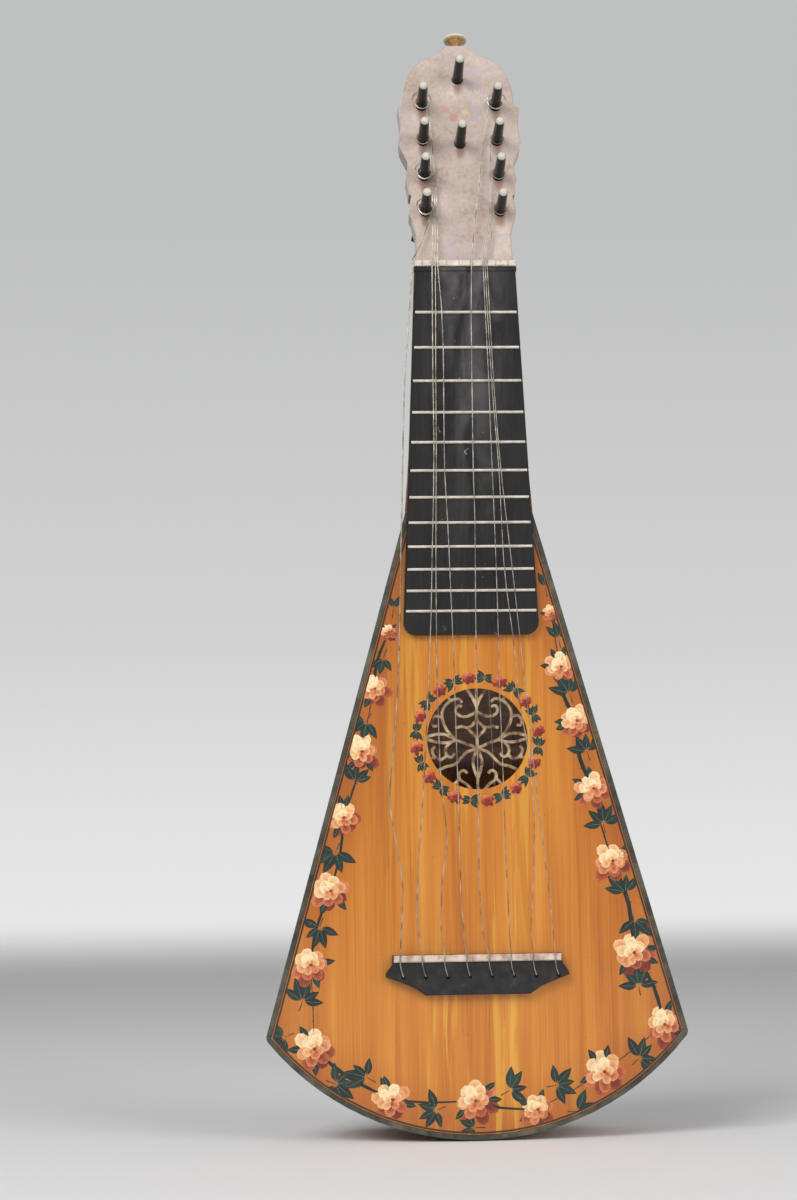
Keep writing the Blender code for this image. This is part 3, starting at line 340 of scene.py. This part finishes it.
red_paint = Finish("red_rose_paint", (0.4, 0.03, 0.02), 0.4, coat=0.3)
red_paint.colour(red_paint.ramp(
    painted_tint(red_paint), (0.0, (0.10, 0.008, 0.006)), (0.55, (0.40, 0.030, 0.014)),
    (1.0, (0.74, 0.26, 0.12))))


def place_from(x, z, turn, along, out=0.0):
    """The place some way along a direction from a point, and some way out to its left."""
    return (x + along * math.cos(turn) - out * math.sin(turn),
            z + along * math.sin(turn) + out * math.cos(turn))


class Brushwork:
    """Flat paint marks on the soundboard, all in one mesh, each with its own tint."""

    def __init__(self, name, paint):
        self.name = name
        self.paint = paint
        self.bm = bmesh.new()
        self.tints = self.bm.verts.layers.float.new("tint")

    def keep_on(self, x, z):
        """Draw a point in to where the painter's brush stopped, at the line beside the edging."""
        limit = HALF_WIDTH_AT_ZERO / MM - SIDE_SLOPE * z - PAINT_MARGIN / SIDE_COS
        x = min(max(x, -limit), limit)
        centre = END_RADIUS / MM
        reach = math.hypot(x, z - centre)
        if z < centre and reach > centre - PAINT_MARGIN:
            x *= (centre - PAINT_MARGIN) / reach
            z = centre + (z - centre) * (centre - PAINT_MARGIN) / reach
        return x, z

    def mark(self, points, tint, level, edge_tint=None):
        """One closed mark from its outline in mm, with its middle lifted and its own tint."""
        points = [self.keep_on(x, z) for x, z in points]
        count = len(points)
        centre = (sum(p[0] for p in points) / count, sum(p[1] for p in points) / count)
        top = PAINT_Y - FLAKE * (1 + level)
        rim = []
        foot = []
        for x, z in points:
            rim.append(self.bm.verts.new((x * MM, top, z * MM)))
            foot.append(self.bm.verts.new((x * MM, PAINT_Y, z * MM)))
        middle = self.bm.verts.new((centre[0] * MM, top - FLAKE, centre[1] * MM))
        middle[self.tints] = tint
        for vert in rim + foot:
            vert[self.tints] = tint if edge_tint is None else edge_tint
        for i in range(count):
            j = (i + 1) % count
            self.bm.faces.new((rim[i], rim[j], middle))
            self.bm.faces.new((rim[j], rim[i], foot[i], foot[j]))
        self.bm.faces.new(foot[::-1])

    def petal(self, x, z, turn, length, width, tint, level, edge_tint):
        """A round-ended petal that starts at a point and reaches out at an angle."""
        outline = []
        for i in range(PETAL_POINTS):
            t = math.tau * i / PETAL_POINTS
            along = 0.5 * length * (1 - math.cos(t))
            out = 0.5 * width * math.sin(t) * (0.75 + 0.35 * along / length)
            outline.append(place_from(x, z, turn, along, out))
        self.mark(outline, tint, level, edge_tint)

    def leaf(self, x, z, turn, length, width):
        """A pointed leaf with a pale midrib."""
        outline = []
        for i in range(2 * LEAF_SIDE_POINTS):
            far_side = i > LEAF_SIDE_POINTS
            t = (2 * LEAF_SIDE_POINTS - i if far_side else i) / LEAF_SIDE_POINTS
            side = -1 if far_side else 1
            out = side * 0.5 * width * math.sin(math.pi * t ** 0.8)
            outline.append(place_from(x, z, turn, t * length, out))
        self.mark(outline, random.uniform(0.25, 0.6), 0, random.uniform(0.05, 0.4))
        self.stroke([(x, z), place_from(x, z, turn, MIDRIB_SHARE * length)], MIDRIB_WIDTH, 0.92, 3)

    def stroke(self, points, width, tint, level):
        """A thin line of paint through some points."""
        left = []
        right = []
        for i, (x, z) in enumerate(points):
            ax, az = points[max(i - 1, 0)]
            bx, bz = points[min(i + 1, len(points) - 1)]
            run = math.hypot(bx - ax, bz - az) or 1.0
            thin = width * (0.5 if i < len(points) - 1 else 0.2)
            left.append((x - thin * (bz - az) / run, z + thin * (bx - ax) / run))
            right.append((x + thin * (bz - az) / run, z - thin * (bx - ax) / run))
        self.mark(left + right[::-1], tint, level)

    def rose(self, x, z, size, tints):
        """A full rose: rings of overlapping petals over a dark heart, lit from above."""
        turn = random.uniform(0, math.tau)
        for ring, (reach, count, width, level) in enumerate(ROSE_RINGS):
            for i in range(count):
                a = turn + math.tau * (i + 0.5 * (ring % 2)) / count + random.uniform(-0.12, 0.12)
                start = 0.10 * size * reach
                length = size * reach * random.uniform(0.78, 1.12) * (1.0 - 0.12 * math.sin(a))
                lit = math.cos(a - PAINTED_LIGHT)
                light = tints[ring] + (0.46 - 0.09 * ring) * lit + random.uniform(-0.10, 0.10)
                self.petal(*place_from(x, z, a, start), a, length, size * width,
                           light - 0.22, level + (i % 2), light + 0.10)
        self.petal(x - 0.08 * size, z, 0.0, 0.2 * size, 0.18 * size, 0.05, 9, 0.12)

    def finish(self):
        """Make the marks an object that rides on the instrument."""
        bmesh.ops.recalc_face_normals(self.bm, faces=self.bm.faces)
        mesh = bpy.data.meshes.new(self.name)
        self.bm.to_mesh(mesh)
        self.bm.free()
        item = add_object(self.name, mesh)
        mesh.materials.append(self.paint.material)
        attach(item, "instrument")


stems = Brushwork("painted_stems", leaf_paint)
leaves = Brushwork("painted_leaves", leaf_paint)
roses = Brushwork("painted_roses", petal_paint)


def wander(a, b, sway, count=6):
    """Points of a gently bent stem between two places."""
    points = []
    for i in range(count + 1):
        t = i / count
        bend = sway * math.sin(math.pi * t)
        points.append((a[0] + (b[0] - a[0]) * t + bend, a[1] + (b[1] - a[1]) * t + 0.4 * bend))
    return points


for (x0, z0, _), (x1, z1, _) in zip(SIDE_ROSES, SIDE_ROSES[1:]):
    stem = wander((x0, z0), (x1, z1), random.uniform(-STEM_SWAY, STEM_SWAY))
    stems.stroke(stem, STEM_WIDTH, 0.12, 0)
    for x, z in stem[1:-1]:
        a = random.uniform(0, math.tau)
        stems.stroke([(x, z), place_from(x, z, a, THORN_LENGTH)], THORN_WIDTH, 0.1, 0)
for x, z, turn, count in LEAF_SPRAYS:
    base = math.radians(turn)
    for i in range(count):
        spread = (i - 0.5 * (count - 1)) * SPRAY_SPREAD
        a = base + spread + random.uniform(-0.15, 0.15)
        length = random.uniform(*LEAF_LENGTHS) * (UPPER_LEAF_SHARE if z > UPPER_SPRAYS_Z else 1.0)
        leaves.leaf(*place_from(x, z, a, LEAF_GAP), a, length, length * LEAF_WIDTH_SHARE)
    stems.stroke([place_from(x, z, base, -SPRAY_STALK), (x, z)], STALK_WIDTH, 0.15, 1)
for x, z, size in SIDE_ROSES:
    for _ in range(ROSE_LEAVES):
        a = random.uniform(0, math.tau)
        foot = place_from(x, z, a, ROSE_LEAF_OUT * size)
        leaves.leaf(*foot, a, ROSE_LEAF_LENGTH * size, ROSE_LEAF_WIDTH * size)
    roses.rose(x, z, ROSE_SCALE * size, FULL_TINTS if size > BUD_SIZE else BUD_TINTS)
stems.finish()
leaves.finish()
roses.finish()

WREATH_CENTRE = (3.4, 289.5)
WREATH_RADIUS = 45.4
WREATH_PLACES = 24
WREATH_TURN = math.radians(7.5)
WREATH_ROSE_SIZE = 4.9
WREATH_TINTS = (0.46, 0.58, 0.50, 0.36)
WREATH_LEAVES = 7
WREATH_LEAF_LENGTHS = (6.0, 8.8)
WREATH_LEAF_WIDTH = 3.2
WREATH_LEAF_FAN = 0.24
wreath_leaves = Brushwork("wreath_leaves", leaf_paint)
wreath_roses = Brushwork("wreath_roses", red_paint)
for i in range(WREATH_PLACES):
    a = math.tau * i / WREATH_PLACES + WREATH_TURN
    x, z = place_from(*WREATH_CENTRE, a, WREATH_RADIUS)
    if i % 2:
        for k in range(WREATH_LEAVES):
            b = a + math.pi / 2 + math.pi * (k % 2) + (k - WREATH_LEAVES // 2) * WREATH_LEAF_FAN
            wreath_leaves.leaf(x, z, b, random.uniform(*WREATH_LEAF_LENGTHS), WREATH_LEAF_WIDTH)
    else:
        wreath_roses.rose(x, z, WREATH_ROSE_SIZE, WREATH_TINTS)
wreath_leaves.finish()
wreath_roses.finish()

# Back
# Maple staves bent over a mould and glued edge to edge, varnished brown, with the flame
# of the wood across each stave. The neck and the end board are of the same wood.
maple = Finish("varnished_maple", (0.35, 0.13, 0.04), 0.3, coat=0.4)
flame = maple.noise(1.0, (14.0, 14.0, 150.0), 2.0, 0.5, 0.8)
fibre = maple.noise(1.0, (500.0, 500.0, 12.0), 3.0, 0.6)
tone = flame * 0.55 + fibre * 0.45
maple.colour(maple.ramp(tone, (0.32, (0.15, 0.045, 0.013)), (0.48, (0.31, 0.11, 0.03)),
                        (0.60, (0.44, 0.18, 0.05)), (0.75, (0.55, 0.26, 0.08))))
maple.rough(0.24 + fibre * 0.2)
maple.bump(fibre, 0.08, 0.0003)
for number in range(1, 8):
    wear(f"rib_{number}", maple)
wear("end_panel", maple)
wear("neck", maple)

# Inside
# Bars under the front, linings along its edges and the block that holds the neck, all of bare
# softwood left from the plane.
deal = Finish("bare_softwood", (0.55, 0.40, 0.22), 0.75)
line = deal.noise(1.0, (350.0, 350.0, 350.0), 3.0)
deal.colour(deal.ramp(line, (0.35, (0.36, 0.24, 0.12)), (0.65, (0.60, 0.45, 0.26))))
for name in ("neck_block", "lining_left", "lining_right", "lining_end",
             "brace_lower", "brace_middle", "brace_upper"):
    wear(name, deal)

# Fingerboard
# Blackened hardwood, glued on the neck and the front, with pale nicks along the middle. The grey
# along the middle of the first spaces is a painted sheen, the reflection of the light.
SHEEN_FROM = 0.42
SHEEN_AND_NICKS_HALF_WIDTH = 0.022
ebony = Finish("worn_ebony", (0.012, 0.011, 0.010), 0.3, coat=0.1)
across, _, up = ebony.axes()
pore = ebony.noise(1.0, (700.0, 200.0, 30.0), 4.0, 0.6)
haze = ebony.noise(1.0, (40.0, 10.0, 16.0), 4.0, 0.6, 0.8)
# Painted sheen: grey along the middle of the first spaces stands for the light reflected there.
sheen_toward_nut = (up - SHEEN_FROM).do("MAXIMUM", 0.0) * 4.0
middle = 1.0 - abs(across).over(SHEEN_AND_NICKS_HALF_WIDTH, 0.016)
painted_sheen = haze.over(0.50, 0.16) * middle * sheen_toward_nut.do("MINIMUM", 1.0)
black = ebony.ramp(pore, (0.35, (0.003, 0.003, 0.003)), (0.65, (0.014, 0.012, 0.011)))
nick = ebony.noise(1.0, (330.0, 100.0, 260.0), 3.0, 0.5, 1.0).over(0.735, 0.01)
black = ebony.mix(painted_sheen * 0.75, black, (0.16, 0.15, 0.15))
ebony.colour(ebony.mix(nick * middle * 0.8, black, (0.55, 0.52, 0.45)))
ebony.rough(0.26 + haze * 0.22)
ebony.bump(pore, 0.12, 0.0002)
for name in ("fingerboard", "nut_strip"):
    wear(name, ebony)

# Bridge
# Ebony, shaped, drilled for the strings and glued to the front, a little dusty in patches.
bridge_black = Finish("bridge_ebony", (0.014, 0.012, 0.011), 0.34, coat=0.25)
dust = bridge_black.noise(120.0, detail=4.0, roughness=0.65)
bridge_black.colour(bridge_black.ramp(dust, (0.40, (0.003, 0.003, 0.003)), (0.62, (0.016, 0.014, 0.013)),
                                      (0.78, (0.07, 0.06, 0.05))))
bridge_black.rough(0.28 + dust * 0.3)
bridge_black.bump(dust, 0.1, 0.0003)
wear("bridge", bridge_black)

# Nut, frets and saddle
# Bars of bone, sawn and set in place, yellowed, with fine dark lines along them. The saddle's
# bone is pinker.
bone = Finish("old_bone", (0.78, 0.70, 0.55), 0.35, coat=0.2)
stain = bone.noise(240.0, detail=4.0, roughness=0.6)
streak = bone.noise(1.0, (90.0, 900.0, 900.0), 3.0)
tone = stain * 0.5 + streak * 0.5
bone.colour(bone.ramp(tone, (0.30, (0.30, 0.22, 0.16)), (0.42, (0.56, 0.49, 0.41)),
                      (0.62, (0.72, 0.68, 0.61))))
bone.rough(0.28 + stain * 0.25)
bone.bump(streak, 0.1, 0.0002)
wear("nut", bone)
for number in range(1, 13):
    wear(f"fret_{number}", bone)
pink_bone = Finish("saddle_bone", (0.72, 0.58, 0.48), 0.38, coat=0.15)
stain = pink_bone.noise(130.0, detail=4.0, roughness=0.6)
pink_bone.colour(pink_bone.ramp(stain, (0.34, (0.42, 0.28, 0.22)), (0.50, (0.66, 0.52, 0.43)),
                                (0.68, (0.78, 0.67, 0.57))))
pink_bone.rough(0.3 + stain * 0.25)
wear("saddle", pink_bone)

# Head
# A flat board painted and varnished, crazed with age. Its colour is lightened by a painted glare
# of the light on the varnish, its sides are in painted shade, the pegs have painted reflections
# below them, and the ghost of a small painted spray lies between the pegs.
HEAD_TILT = math.radians(14.0)
HEAD_FOOT = (-0.003, 0.64887)
# Places of the pegs, in mm across the head and up it
PEG_ROWS = (134.3, 103.3, 72.6, 41.8)
PEG_COLUMN = 28.5
PEG_SEATS = [(side * PEG_COLUMN, v) for side in (-1, 1) for v in PEG_ROWS] + [(0.0, 158.1), (0.0, 100.9)]
PEG_REFLECTION_DROP = 7.0
PEG_REFLECTION_STRETCH = 0.55
# The radius of the painted peg reflections, and how far below the face the shaded sides start, in metres
PEG_REFLECTION_RADIUS = 0.0032
SIDE_DEPTH = 0.0013
# Each spot: how far across and up the head and its radius, in mm, and its colour
GHOST_SPOTS = (
    (-4.0, 124.0, 3.4, (0.62, 0.20, 0.14)), (5.0, 129.0, 3.0, (0.72, 0.56, 0.22)),
    (12.0, 124.0, 2.8, (0.45, 0.36, 0.50)), (-10.0, 131.0, 2.6, (0.62, 0.26, 0.20)),
    (1.0, 117.0, 2.4, (0.38, 0.42, 0.26)), (8.0, 136.0, 2.4, (0.40, 0.44, 0.28)),
)


def up_the_head(back, up):
    """Distance up the head's face from its foot."""
    return (back - HEAD_FOOT[0]) * math.sin(HEAD_TILT) + (up - HEAD_FOOT[1]) * math.cos(HEAD_TILT)


def out_of_the_head(back, up):
    """Distance out of the head's face."""
    return (up - HEAD_FOOT[1]) * math.sin(HEAD_TILT) - (back - HEAD_FOOT[0]) * math.cos(HEAD_TILT)


paint = Finish("crazed_head_paint_and_glare", (0.66, 0.53, 0.46), 0.16, coat=0.6)
across, back, up = paint.axes()
along = up_the_head(back, up)
proud = out_of_the_head(back, up)
blush = paint.noise(26.0, detail=4.0, roughness=0.55)
fleck = paint.noise(330.0, detail=3.0)
# Painted glare: the head's paint is drawn pale, as lit by the reflection of the light on its varnish.
paint_and_glare = paint.ramp(blush * 0.75 + fleck * 0.25, (0.30, (0.30, 0.20, 0.16)), (0.44, (0.50, 0.39, 0.33)),
                  (0.58, (0.60, 0.49, 0.43)), (0.74, (0.74, 0.67, 0.62)))
crack_fit = paint.node("ShaderNodeMapping", {"Vector": paint.place, "Scale": (90.0, 90.0, 38.0)})
crack = Value(paint, paint.node("ShaderNodeTexVoronoi", {"Vector": crack_fit.outputs[0]},
                                feature="DISTANCE_TO_EDGE").outputs[0])
crack = (-crack).over(-0.012, 0.008) * blush.over(0.5, 0.08)
paint_and_glare = paint.mix(crack * 0.6, paint_and_glare, (0.22, 0.12, 0.08))
for u, v, radius, hue in GHOST_SPOTS:
    du = across - u * MM
    dv = along - v * MM
    near = -(du * du + dv * dv).do("SQRT") + (fleck - 0.5) * 0.004
    paint_and_glare = paint.mix(near.over(-radius * MM, 0.0009) * 0.55, paint_and_glare, hue)
bloom = paint.noise(55.0, detail=4.0, roughness=0.6, warp=0.8)
paint_and_glare = paint.mix(bloom.over(0.60, 0.05) * 0.5, paint_and_glare, (0.46, 0.40, 0.46))
# Painted reflections: a dark brown patch below each peg, where the peg's reflection hides the glare.
for u, v in PEG_SEATS:
    du = across - u * MM
    dv = (along - (v - PEG_REFLECTION_DROP) * MM) * PEG_REFLECTION_STRETCH
    near = -(du * du + dv * dv).do("SQRT") + (fleck - 0.5) * 0.003
    paint_and_glare = paint.mix(near.over(-PEG_REFLECTION_RADIUS, 0.0022) * 0.7, paint_and_glare, (0.20, 0.085, 0.05))
# Painted shade: the sides and back of the head, below its face, are drawn dark.
painted_side_shade = 1.0 - proud.over(-SIDE_DEPTH, 0.0006)
paint_and_glare = paint.mix(painted_side_shade, paint_and_glare, (0.10, 0.055, 0.035))
paint.colour(paint_and_glare)
paint.rough(0.12 + blush * 0.16)
paint.bump(-crack + fleck * 0.15, 0.2, 0.0003)
wear("head", paint)

# Pegs
# Turned ebony pegs pushed in from behind, where their thumb pieces are, each with a small tip
# of bone at the front.
TIP_START = 0.0283
peg_black = Finish("peg_ebony", (0.006, 0.005, 0.005), 0.25, coat=0.05)
_, back, up = peg_black.axes()
proud = out_of_the_head(back, up)
pore = peg_black.noise(300.0, detail=3.0)
black = peg_black.ramp(pore, (0.4, (0.002, 0.002, 0.002)), (0.7, (0.009, 0.008, 0.007)))
peg_black.colour(peg_black.mix(proud.over(TIP_START, 0.0001), black, (0.60, 0.57, 0.50)))
peg_black.rough(0.22 + pore * 0.2)
peg_black.shader.inputs["Specular IOR Level"].default_value = 0.28
for side in "lr":
    for row in range(1, 5):
        wear(f"peg_{side}{row}", peg_black)
for row in (1, 2):
    wear(f"peg_c{row}", peg_black)

# Knob
# A turned button of bone on the head's end: its trumpet underside is golden brown below a pale rim.
KNOB_RIM = 0.1975
knob_bone = Finish("knob_bone", (0.74, 0.62, 0.42), 0.3, coat=0.3)
_, back, up = knob_bone.axes()
ring = knob_bone.noise(300.0, detail=3.0)
golden = knob_bone.ramp(ring, (0.35, (0.26, 0.11, 0.03)), (0.65, (0.50, 0.27, 0.09)))
rim = up_the_head(back, up).over(KNOB_RIM, 0.0012)
knob_bone.colour(knob_bone.mix(rim, golden, (0.80, 0.73, 0.58)))
wear("knob", knob_bone)

# Strings
# Wire, slack and kinked, each tied at the bridge and wound on its peg.
wire = Finish("dull_wire", (0.50, 0.46, 0.38), 0.36, metallic=0.85)
tarnish = wire.noise(120.0, detail=3.0)
wire.colour(wire.ramp(tarnish, (0.35, (0.24, 0.20, 0.15)), (0.5, (0.46, 0.42, 0.35)),
                      (0.68, (0.66, 0.62, 0.54))))
wire.rough(0.28 + tarnish * 0.2)
for number in range(1, 9):
    wear(f"string_{number}", wire)

# Stage
# A pale floor that curves up into a grey backdrop, lighter low down, as in a studio. The
# backdrop stands far enough back that a camera behind the instrument is in front of it.
FLOOR_Z = -0.0008
FLOOR_FRONT = -6.0
STAGE_HALF_WIDTH = 5.0
SWEEP_START = 2.6
SWEEP_RADIUS = 1.2
SWEEP_STEPS = 16
BACKDROP_TOP = 5.0
TONE_HEIGHT = 2.4
GLOW_FROM = 0.05
bm = bmesh.new()
profile = [(FLOOR_FRONT, FLOOR_Z), (SWEEP_START, FLOOR_Z)]
for i in range(1, SWEEP_STEPS + 1):
    a = 0.5 * math.pi * i / SWEEP_STEPS
    profile.append((SWEEP_START + SWEEP_RADIUS * math.sin(a), FLOOR_Z + SWEEP_RADIUS * (1 - math.cos(a))))
profile.append((SWEEP_START + SWEEP_RADIUS, BACKDROP_TOP))
edge = [bm.verts.new((-STAGE_HALF_WIDTH, y, z)) for y, z in profile]
lines = [bm.edges.new((a, b)) for a, b in zip(edge, edge[1:])]
grown = bmesh.ops.extrude_edge_only(bm, edges=lines)["geom"]
far_edge = [v for v in grown if isinstance(v, bmesh.types.BMVert)]
bmesh.ops.translate(bm, vec=(2 * STAGE_HALF_WIDTH, 0.0, 0.0), verts=far_edge)
bmesh.ops.recalc_face_normals(bm, faces=bm.faces)
mesh = bpy.data.meshes.new("studio_sweep")
bm.to_mesh(mesh)
bm.free()
mesh.shade_smooth()
sweep = add_object("studio_sweep", mesh)
paper = Finish("backdrop_paper", (0.80, 0.80, 0.80), 0.9)
_, _, height = paper.axes()
cloth = paper.ramp(height / TONE_HEIGHT, (0.0, (0.82, 0.82, 0.82)), (0.12, (0.76, 0.76, 0.76)),
                   (0.30, (0.64, 0.645, 0.64)), (0.75, (0.52, 0.53, 0.525)))
paper.colour(cloth)
glow = paper.node("ShaderNodeEmission", {"Color": cloth, "Strength": 1.0})
ray = paper.node("ShaderNodeLightPath", {})
seen = Value(paper, ray.outputs["Is Camera Ray"]).do("MAXIMUM", Value(paper, ray.outputs["Is Glossy Ray"]))
share = seen * height.over(GLOW_FROM, 0.05)
blend = paper.node("ShaderNodeMixShader", [share, paper.shader.outputs[0], glow.outputs[0]])
output = paper.tree.nodes["Material Output"]
paper.tree.links.new(blend.outputs[0], output.inputs["Surface"])
mesh.materials.append(paper.material)

# Light
# Two large soft lamps in front, the left one the stronger, and a dim even sky.
LAMP_TARGET = (0.0, 0.0, 0.4)
SKY_STRENGTH = 0.35


def soft_lamp(name, place, size, power):
    """A square lamp that faces the middle of the instrument."""
    lamp = bpy.data.lights.new(name, "AREA")
    lamp.shape = "RECTANGLE"
    lamp.size = size
    lamp.size_y = size
    lamp.energy = power
    item = add_object(name, lamp)
    item.location = place
    item.rotation_euler = (Vector(LAMP_TARGET) - Vector(place)).to_track_quat("-Z", "Y").to_euler()


soft_lamp("key_lamp", (-1.6, -2.0, 2.1), 1.6, 62.0)
soft_lamp("fill_lamp", (1.9, -1.9, 1.3), 1.8, 34.0)
sky = bpy.data.worlds.new("sky")
bpy.context.scene.world = sky
sky.use_nodes = True
sky.node_tree.nodes["Background"].inputs["Color"].default_value = (0.9, 0.9, 0.92, 1.0)
sky.node_tree.nodes["Background"].inputs["Strength"].default_value = SKY_STRENGTH
